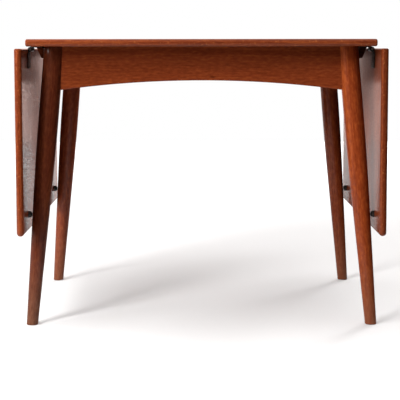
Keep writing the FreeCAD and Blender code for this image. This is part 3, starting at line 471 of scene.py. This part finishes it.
steelMaterial = drawnSteel()
dress([f"{end}_{side}_hinge_pin" for end, side in corners] + ["left_bumper_screws", "right_bumper_screws"],
      steelMaterial)

# bumpers: black rubber, moulded, dull and faintly pitted
rubber = {
    "deep": "0D0C0B",
    "worn": "1E1C1A",
    "pit": 1.4,              # mm
    "roughness": 0.5,
    "relief": 0.2,           # mm
    "reliefShare": 0.2,
}


def mouldedRubber():
    material, tree = newMaterial("mouldedBlackRubber")
    place = addNode(tree, "TexCoord")
    pits = addNode(tree, "TexNoise", {"Vector": (place, "Object"), "Detail": 2.0,
                                      "Scale": 1 / (rubber["pit"] * millimetre)})
    colour = addNode(tree, "Mix", {"Factor": (pits, 0), 6: toLinear(rubber["deep"]),
                                   7: toLinear(rubber["worn"])}, data_type="RGBA")
    bump = addNode(tree, "Bump", {"Height": (pits, 0), "Strength": rubber["reliefShare"],
                                  "Distance": rubber["relief"] * millimetre})
    shader = addNode(tree, "BsdfPrincipled", {"Base Color": (colour, 2), "Roughness": rubber["roughness"],
                                              "IOR": 1.52, "Normal": (bump, 0)})
    finishMaterial(tree, shader)
    return material


dress([f"{end}_{side}_bumper" for end, side in corners], mouldedRubber())
print("iron, steel and rubber done")

# countersunk screws with a sawn slot
slottedScrew = {
    "slotWidth": 1.0,        # mm
    "slotDepth": 1.1,
    "slotGap": 0.02,         # mm that a slot's wall leans
    "weld": 0.002,           # mm; points closer than this become one
    "shankShare": 0.5,       # of the head's diameter
    "apart": 10.0,           # mm; the screws of a group stand further apart than this
    "rows": 9,               # points along the slot
    "columns": 6,            # lines of points on each side of the slot
    "turnStep": 2.4,         # radians from one screw's slot to the next
}


# where each screw of a group is: the middle of its head, its head's radius and its length, in metres;
# the group's points are taken out one screw at a time by their distance across the axis
def screwPlaces(node, axis):
    mesh = nodes[node].data
    points = np.empty(len(mesh.vertices) * 3)
    mesh.vertices.foreach_get("co", points)
    points = points.reshape(-1, 3)
    depth = int(np.argmax(np.abs(axis)))
    across = [i for i in range(3) if i != depth]
    places = []
    while len(points):
        apart = np.linalg.norm(points[:, across] - points[0, across], axis=1)
        mine = apart < slottedScrew["apart"] * millimetre
        low, high = points[mine].min(axis=0), points[mine].max(axis=0)
        head = (low + high) / 2
        head[depth] = high[depth] if axis[depth] > 0 else low[depth]
        places.append((head, (high[across[0]] - low[across[0]]) / 2, high[depth] - low[depth]))
        points = points[~mine]
    return places


# one screw, head up at the origin: the head is a grid of columns across the slot, each column's rows
# run to the edge of the circle, and the columns inside the slot lie lower on the cone, which narrows
# by as much as it is deep; the grid's rim is carried down to the shank, along it and in to the point
def screwSurface(radius, length):
    half, sunk = slottedScrew["slotWidth"] * millimetre / 2, slottedScrew["slotDepth"] * millimetre
    shank = radius * slottedScrew["shankShare"]
    edge = half + slottedScrew["slotGap"] * millimetre
    side = -radius * np.cos(np.linspace(0, math.acos(edge / radius), slottedScrew["columns"]))
    columns = np.concatenate([side, [-half, half], -side[::-1]])
    lowered = np.where(np.abs(columns) <= half, sunk, 0.0)
    reach = np.sqrt(np.maximum((radius - lowered) ** 2 - columns ** 2, 0.0))
    x, t = np.meshgrid(columns, np.linspace(-1, 1, slottedScrew["rows"]), indexing="ij")
    head = np.stack([x, t * reach[:, None], np.broadcast_to(-lowered[:, None], x.shape)], axis=-1)
    rim = np.concatenate([head[:-1, 0], head[-1, :-1], head[:0:-1, -1], head[0, :0:-1]])
    angle = np.arctan2(rim[:, 1], rim[:, 0])
    levels = [(shank, shank - radius), (shank, shank - length), (0.0, -length)]
    rings = [rim] + [np.stack([r * np.cos(angle), r * np.sin(angle), np.full_like(angle, z)], axis=-1)
                     for r, z in levels]
    tall, count = len(head[0]), len(rim)
    cell = (np.arange(len(columns) - 1)[:, None] * tall + np.arange(tall - 1)).ravel()
    faces = [np.stack([cell, cell + tall, cell + tall + 1, cell + 1], axis=1)]
    here = np.arange(count)
    onward = (here + 1) % count
    for k in range(len(levels)):
        faces.append(head.shape[0] * tall + k * count
                     + np.stack([here, here + count, onward + count, onward], axis=1))
    return np.concatenate([head.reshape(-1, 3)] + rings), np.concatenate(faces)


# every screw of a group in one piece, each turned a little further round its own axis
def makeScrews(node, axis, body):
    along = np.array(axis, dtype=float)
    start = np.roll(along, 1)
    points, faces, used = [], [], 0
    for number, (head, radius, length) in enumerate(screwPlaces(node, along)):
        local, quads = screwSurface(radius, length)
        turn = number * slottedScrew["turnStep"]
        first = math.cos(turn) * start + math.sin(turn) * np.cross(along, start)
        points.append(head + local @ np.stack([first, np.cross(along, first), along]))
        faces.append(quads + used)
        used += len(local)
    mesh = bpy.data.meshes.new(f"slotted_{node}")
    mesh.from_pydata(np.concatenate(points).tolist(), [], np.concatenate(faces).tolist())
    merged = bmesh.new()
    merged.from_mesh(mesh)
    bmesh.ops.remove_doubles(merged, verts=merged.verts, dist=slottedScrew["weld"] * millimetre)
    merged.to_mesh(mesh)
    merged.free()
    piece = bpy.data.objects.new(f"slotted_{node}", mesh)
    bpy.context.scene.collection.objects.link(piece)
    mesh.materials.append(steelMaterial)
    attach(piece, body)
    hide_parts(node)


makeScrews("hinge_top_screws", (0, 0, -1), "table_frame")
makeScrews("top_cleat_screws", (0, 0, -1), "table_frame")
makeScrews("left_leaf_hinge_screws", (1, 0, 0), "left_wing")
makeScrews("right_leaf_hinge_screws", (-1, 0, 0), "right_wing")
print("slotted screws made")

# studio: white floor and surround, oval soft lamps; from is the angle that a lamp stands at, 0 in front of
# the table and growing towards its left, up is its height and spread its width and its height, all in
# degrees, away is its distance in metres, strength is what reaches the table, in watts a square metre,
# and a lamp without glare lights the table but is not mirrored in it
studio = {
    "floorHalf": 6.0,        # metres; short of the far lamps, so that no paper lies behind them in the dark
    "floorColour": "DCDCDC",
    "farColour": "FAFAFA",   # so that the paper meets the white behind it without a line
    "farFrom": 2.0,          # metres from the table's middle
    "farTo": 3.0,
    "unlitColour": "202020",
    "litRight": 0.35,        # metres of lit paper to the right of the table's middle
    "litFront": 1.7,         # and in front of it
    "litFade": 0.6,
    "paperRoughness": 0.9,
    "paperGloss": 0.1,
    "overhead": 1.55,        # brightness, as are the next three
    "backdrop": 2.1,
    "leftWall": 0.4,
    "dim": 0.02,
    "overheadEnds": (0.5, 0.9),  # share of the way to straight up where it begins and where it is full
    "wallEnds": (0.3, 0.8),  # the same for the two walls, to straight back and to straight left
    "wallTop": 0.5,          # where the walls end, as a share of the way to straight up
    "wallFade": 0.15,
    "tint": "FFFCFB",        # the surround lights the table with a faintly warm white
    "sheenTint": "FFDED5",   # and what the polished wood mirrors of it is warmer, as off a wooden floor
    "white": "FFFFFF",
    "lampHeight": 0.4,       # metres; the lamps point at this height above the floor
    "lamps": {
        "key": {"from": 35, "up": 22, "spread": (14, 26), "away": 12, "strength": 2.3, "glare": False},
        "near": {"from": 37, "up": 20, "spread": (12, 32), "away": 1.6, "strength": 1.15, "glare": False},
        "side": {"from": 62, "up": 13, "spread": (16, 16), "away": 12, "strength": 0.7, "glare": True},
        "rear": {"from": 212, "up": 16, "spread": (20, 14), "away": 12, "strength": 2.3, "glare": False},
        "upper": {"from": 75, "up": 50, "spread": (34, 34), "away": 1.2, "strength": 2.3, "glare": False},
    },
}


# the paper looks white everywhere, but past the lit stretch it throws no light back on the table
def makeFloor():
    half = studio["floorHalf"]
    mesh = bpy.data.meshes.new("studioFloor")
    mesh.from_pydata([(-half, -half, 0), (half, -half, 0), (half, half, 0), (-half, half, 0)],
                     [], [(0, 1, 2, 3)])
    floor = bpy.data.objects.new("studioFloor", mesh)
    bpy.context.scene.collection.objects.link(floor)
    material, tree = newMaterial("mattWhitePaper")
    place = addNode(tree, "TexCoord")
    split = addNode(tree, "SeparateXYZ", {0: (place, "Object")})
    rightward = addNode(tree, "MapRange", {"Value": (split, "X"), "From Min": studio["litRight"],
                                           "From Max": studio["litRight"] + studio["litFade"]})
    forward = addNode(tree, "MapRange", {"Value": (split, "Y"), "From Min": -studio["litFront"],
                                         "From Max": -studio["litFront"] - studio["litFade"]})
    beyond = addNode(tree, "Math", {0: (rightward, 0), 1: (forward, 0)}, operation="MAXIMUM")
    seen = addNode(tree, "LightPath")
    unlit = addNode(tree, "Math", {0: (beyond, 0), 1: (seen, "Is Camera Ray")}, operation="SUBTRACT",
                    use_clamp=True)
    reach = addNode(tree, "VectorMath", {0: (place, "Object")}, operation="LENGTH")
    far = addNode(tree, "MapRange", {"Value": (reach, "Value"), "From Min": studio["farFrom"],
                                     "From Max": studio["farTo"]})
    paper = addNode(tree, "Mix", {"Factor": (far, 0), 6: toLinear(studio["floorColour"]),
                                  7: toLinear(studio["farColour"])}, data_type="RGBA")
    colour = addNode(tree, "Mix", {"Factor": (unlit, 0), 6: (paper, 2),
                                   7: toLinear(studio["unlitColour"])}, data_type="RGBA")
    finishMaterial(tree, addNode(tree, "BsdfPrincipled", {
        "Base Color": (colour, 2), "Roughness": studio["paperRoughness"],
        "Specular IOR Level": studio["paperGloss"]}))
    mesh.materials.append(material)


def makeLamps():
    for name, setting in studio["lamps"].items():
        away = setting["away"]
        light = bpy.data.lights.new(f"{name}Lamp", "AREA")
        light.shape = "ELLIPSE"
        light.size, light.size_y = [2 * away * math.tan(math.radians(spread) / 2)
                                    for spread in setting["spread"]]
        light.energy = setting["strength"] * math.pi * away ** 2
        lamp = bpy.data.objects.new(f"{name}Lamp", light)
        turn, rise = math.radians(setting["from"]), math.radians(setting["up"])
        towards = Vector((-math.sin(turn) * math.cos(rise), -math.cos(turn) * math.cos(rise), math.sin(rise)))
        lamp.location = Vector((0, 0, studio["lampHeight"])) + away * towards
        lamp.rotation_euler = towards.to_track_quat("Z", "Y").to_euler()
        lamp.visible_camera = False
        lamp.visible_glossy = setting["glare"]
        bpy.context.scene.collection.objects.link(lamp)


# the surround is bright overhead and low at the back and left, and dim elsewhere; seen directly it is white
def makeSurround():
    world = bpy.data.worlds.new("studioSurround")
    bpy.context.scene.world = world
    world.use_nodes = True
    tree = world.node_tree
    tree.nodes.clear()
    ray = addNode(tree, "TexCoord")
    way = addNode(tree, "SeparateXYZ", {0: (ray, "Generated")})
    begin, full = studio["wallEnds"]
    behind = addNode(tree, "MapRange", {"Value": (way, "Y"), "From Min": begin, "From Max": full,
                                        "To Min": studio["dim"], "To Max": studio["backdrop"]})
    beside = addNode(tree, "MapRange", {"Value": (way, "X"), "From Min": -begin, "From Max": -full,
                                        "To Max": studio["leftWall"]})
    around = addNode(tree, "Math", {0: (behind, 0), 1: (beside, 0)}, operation="ADD")
    above = addNode(tree, "MapRange", {"Value": (way, "Z"),
                                       "From Min": studio["wallTop"] - studio["wallFade"],
                                       "From Max": studio["wallTop"]})
    low = addNode(tree, "Mix", {"Factor": (above, 0), 2: (around, 0), 3: studio["dim"]}, data_type="FLOAT")
    begin, full = studio["overheadEnds"]
    high = addNode(tree, "MapRange", {"Value": (way, "Z"), "From Min": begin, "From Max": full})
    light = addNode(tree, "Mix", {"Factor": (high, 0), 2: (low, 0), 3: studio["overhead"]}, data_type="FLOAT")
    seen = addNode(tree, "LightPath")
    strength = addNode(tree, "Mix", {"Factor": (seen, "Is Camera Ray"), 2: (light, 0), 3: 1.0},
                       data_type="FLOAT")
    warm = addNode(tree, "Mix", {"Factor": (seen, "Is Glossy Ray"), 6: toLinear(studio["tint"]),
                                 7: toLinear(studio["sheenTint"])}, data_type="RGBA")
    tint = addNode(tree, "Mix", {"Factor": (seen, "Is Camera Ray"), 6: (warm, 2),
                                 7: toLinear(studio["white"])}, data_type="RGBA")
    back = addNode(tree, "Background", {"Color": (tint, 2), "Strength": (strength, 0)})
    addNode(tree, "OutputWorld", {"Surface": (back, 0)})
    bpy.context.scene.view_settings.view_transform = "Standard"


makeFloor()
makeLamps()
makeSurround()

# camera level with the underside of the top, far enough back for nearly parallel lines
view = {
    "place": (-0.01649, -3.54394, 0.70219),
    "turn": -0.00399,        # radians, as are the next two
    "tilt": 0.10312,
    "roll": -0.001,
    "focal": 1291.17,        # in pixels of a frame 400 wide
    "frame": 400,
    "shift": -0.05,
    "farthest": 60.0,        # metres
}


def makeCamera():
    data = bpy.data.cameras.new("studioCamera")
    data.lens = view["focal"] * data.sensor_width / view["frame"]
    data.shift_y = view["shift"]
    data.clip_end = view["farthest"]
    camera = bpy.data.objects.new("studioCamera", data)
    bpy.context.scene.collection.objects.link(camera)
    turn = Matrix.Rotation(view["turn"], 4, "Z")
    tilt = Matrix.Rotation(math.pi / 2 - view["tilt"], 4, "X")
    roll = Matrix.Rotation(view["roll"], 4, "Z")
    camera.location = view["place"]
    camera.rotation_euler = (turn @ tilt @ roll).to_euler()
    bpy.context.scene.camera = camera


makeCamera()
print("studio and camera ready")
